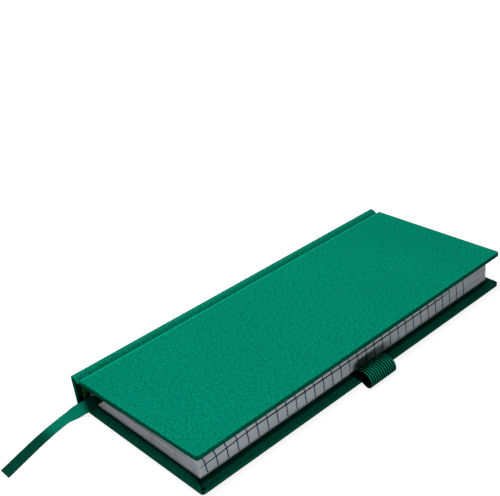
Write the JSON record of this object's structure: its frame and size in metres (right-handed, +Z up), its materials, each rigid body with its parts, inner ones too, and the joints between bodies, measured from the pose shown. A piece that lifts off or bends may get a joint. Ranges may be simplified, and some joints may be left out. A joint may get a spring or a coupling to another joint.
{
  "type": "tally book",
  "caption": "Narrow case-bound book of ruled pages with cloth-covered hinged boards, a ribbon marker and an elastic pen loop on the back board's fore-edge.",
  "frame": {"origin": "centre of the back cover's flat underside, on the surface the book lies on, spine piece included", "axes": "+Z up through the closed book, from the back cover to the front cover; +X from the spine to the fore-edge; +Y from the tail to the head"},
  "size_m": [0.1002, 0.2785, 0.0226],
  "materials": {
    "cover_cloth": "matt woven book cloth, dark green",
    "board": "grey board, matt",
    "endpaper": "matt white paper",
    "pages": "matt white ruled paper",
    "lining": "open-woven mull and glue",
    "band": "woven olive green band",
    "elastic": "ribbed elastic, dark green",
    "ribbon": "satin ribbon, dark green"
  },
  "bodies": {
    "text_block": {"page_block": "pages", "spine_lining": "lining", "head_band": "band", "tail_band": "band", "spine_board": "board", "spine_cloth": "cover_cloth", "front_joint_cloth": "cover_cloth", "back_joint_cloth": "cover_cloth", "ribbon_marker": "ribbon"},
    "front_cover": {"front_board": "board", "front_cloth": "cover_cloth", "front_pastedown": "endpaper"},
    "back_cover": {"back_board": "board", "back_cloth": "cover_cloth", "back_pastedown": "endpaper", "pen_loop": "elastic"}
  },
  "joints": [
    {"name": "front_cover_hinge", "type": "hinge", "parent": "text_block", "child": "front_cover", "pos_m": [-0.0442, 0, 0.0161], "axis": [0, -1, 0], "range_deg": [0, 178]},
    {"name": "back_cover_hinge", "type": "hinge", "parent": "text_block", "child": "back_cover", "pos_m": [-0.0442, 0, 0.0013], "axis": [0, 1, 0], "range_deg": [0, 178]}
  ]
}
